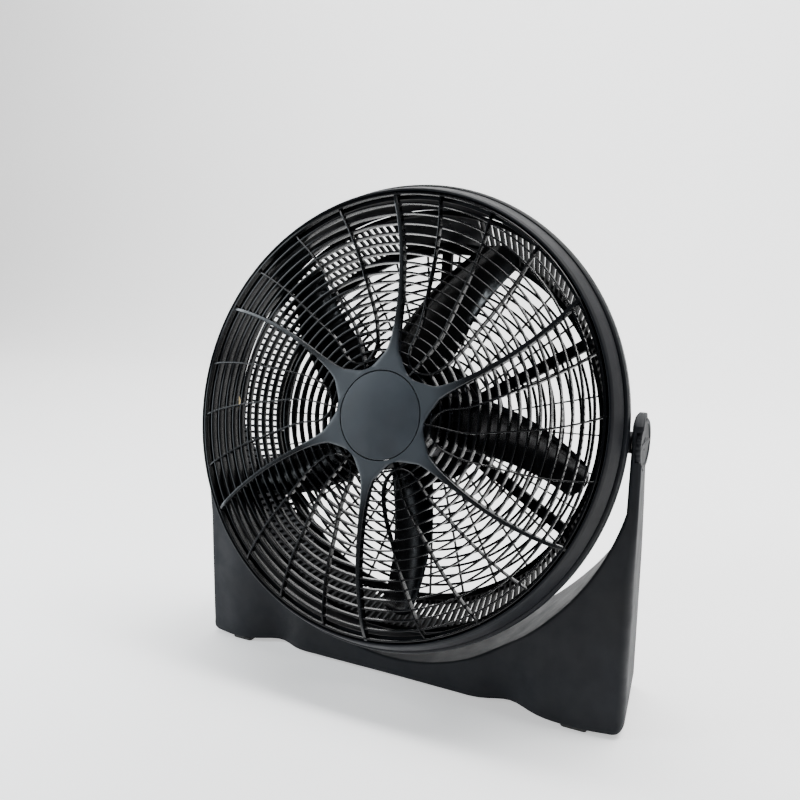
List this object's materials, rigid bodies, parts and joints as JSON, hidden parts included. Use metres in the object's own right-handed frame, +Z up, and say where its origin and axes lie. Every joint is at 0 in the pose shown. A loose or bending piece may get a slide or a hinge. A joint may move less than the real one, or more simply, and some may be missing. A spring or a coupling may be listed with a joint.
{
  "type": "tilting floor fan",
  "caption": "Round floor fan with a ribbed front grille, five swept blades and a rear motor, tilting between the arms of a U-shaped cradle base.",
  "frame": {"origin": "on the floor, under the middle of the bounding box", "axes": "+Z up; the airflow leaves towards -Y; +X is to the right of a person facing the front; the tilt axis is parallel to X"},
  "size_m": [0.5602, 0.2687, 0.584],
  "materials": {
    "black_plastic": "fine-textured satin black moulding",
    "grille_plastic": "semi-gloss black moulding",
    "badge_plastic": "satin dark blue-grey moulding",
    "blade_plastic": "glossy black moulding",
    "rubber": "moulded black rubber",
    "steel": "zinc-plated steel",
    "aluminium": "die-cast aluminium, painted black",
    "iron": "laminated steel",
    "copper": "enamelled copper wire",
    "brass": "sintered bronze and brass",
    "nylon": "natural nylon",
    "case_grey": "grey moulded case"
  },
  "bodies": {
    "base": {"base_shell": "black_plastic", "base_back_cover": "black_plastic", "cover_screw_1": "steel", "cover_screw_2": "steel", "cover_screw_3": "steel", "cover_screw_4": "steel", "foot_front_left": "rubber", "foot_front_right": "rubber", "foot_rear_left": "rubber", "foot_rear_right": "rubber", "pivot_bush_left": "nylon", "pivot_bush_right": "nylon", "pivot_washer_left": "nylon", "pivot_washer_right": "nylon"},
    "head": {"front_bezel": "black_plastic", "front_grille": "grille_plastic", "hub_badge": "badge_plastic", "rear_shroud": "black_plastic", "pivot_nut_left": "brass", "pivot_nut_right": "brass", "rear_grille": "black_plastic", "motor_front_bell": "aluminium", "motor_rear_bell": "aluminium", "stator_core": "iron", "winding_front": "copper", "winding_rear": "copper", "bearing_front": "brass", "bearing_rear": "brass", "motor_cover": "black_plastic", "speed_switch": "case_grey", "capacitor": "case_grey", "terminal_block": "nylon", "cord_gland": "rubber", "motor_screw_1": "steel", "motor_screw_2": "steel", "motor_screw_3": "steel", "motor_screw_4": "steel", "carry_handle": "black_plastic"},
    "fan": {"fan_blade": "blade_plastic", "motor_shaft": "steel", "rotor_core": "iron", "blade_nut": "black_plastic"},
    "speed_knob": {"speed_knob": "black_plastic"},
    "tilt_knob_left": {"tilt_knob_left": "black_plastic", "pivot_bolt_left": "steel"},
    "tilt_knob_right": {"tilt_knob_right": "black_plastic", "pivot_bolt_right": "steel"}
  },
  "joints": [
    {"name": "head_tilt", "type": "hinge", "parent": "base", "child": "head", "pos_m": [0, -0.0088, 0.3193], "axis": [-1, 0, 0], "range_deg": [-30, 75]},
    {"name": "fan_spin", "type": "hinge", "parent": "head", "child": "fan", "pos_m": [0, -0.0088, 0.3193], "axis": [0, -0.9632, 0.2689], "continuous": true},
    {"name": "speed_select", "type": "hinge", "parent": "head", "child": "speed_knob", "pos_m": [0, 0.12051, 0.31019], "axis": [0, -0.9632, 0.2689], "range_deg": [-135, 0]},
    {"name": "tilt_lock_left", "type": "hinge", "parent": "base", "child": "tilt_knob_left", "pos_m": [-0.275, -0.0088, 0.3193], "axis": [-1, 0, 0], "range_deg": [0, 360]},
    {"name": "tilt_lock_right", "type": "hinge", "parent": "base", "child": "tilt_knob_right", "pos_m": [0.275, -0.0088, 0.3193], "axis": [1, 0, 0], "range_deg": [0, 360]}
  ]
}
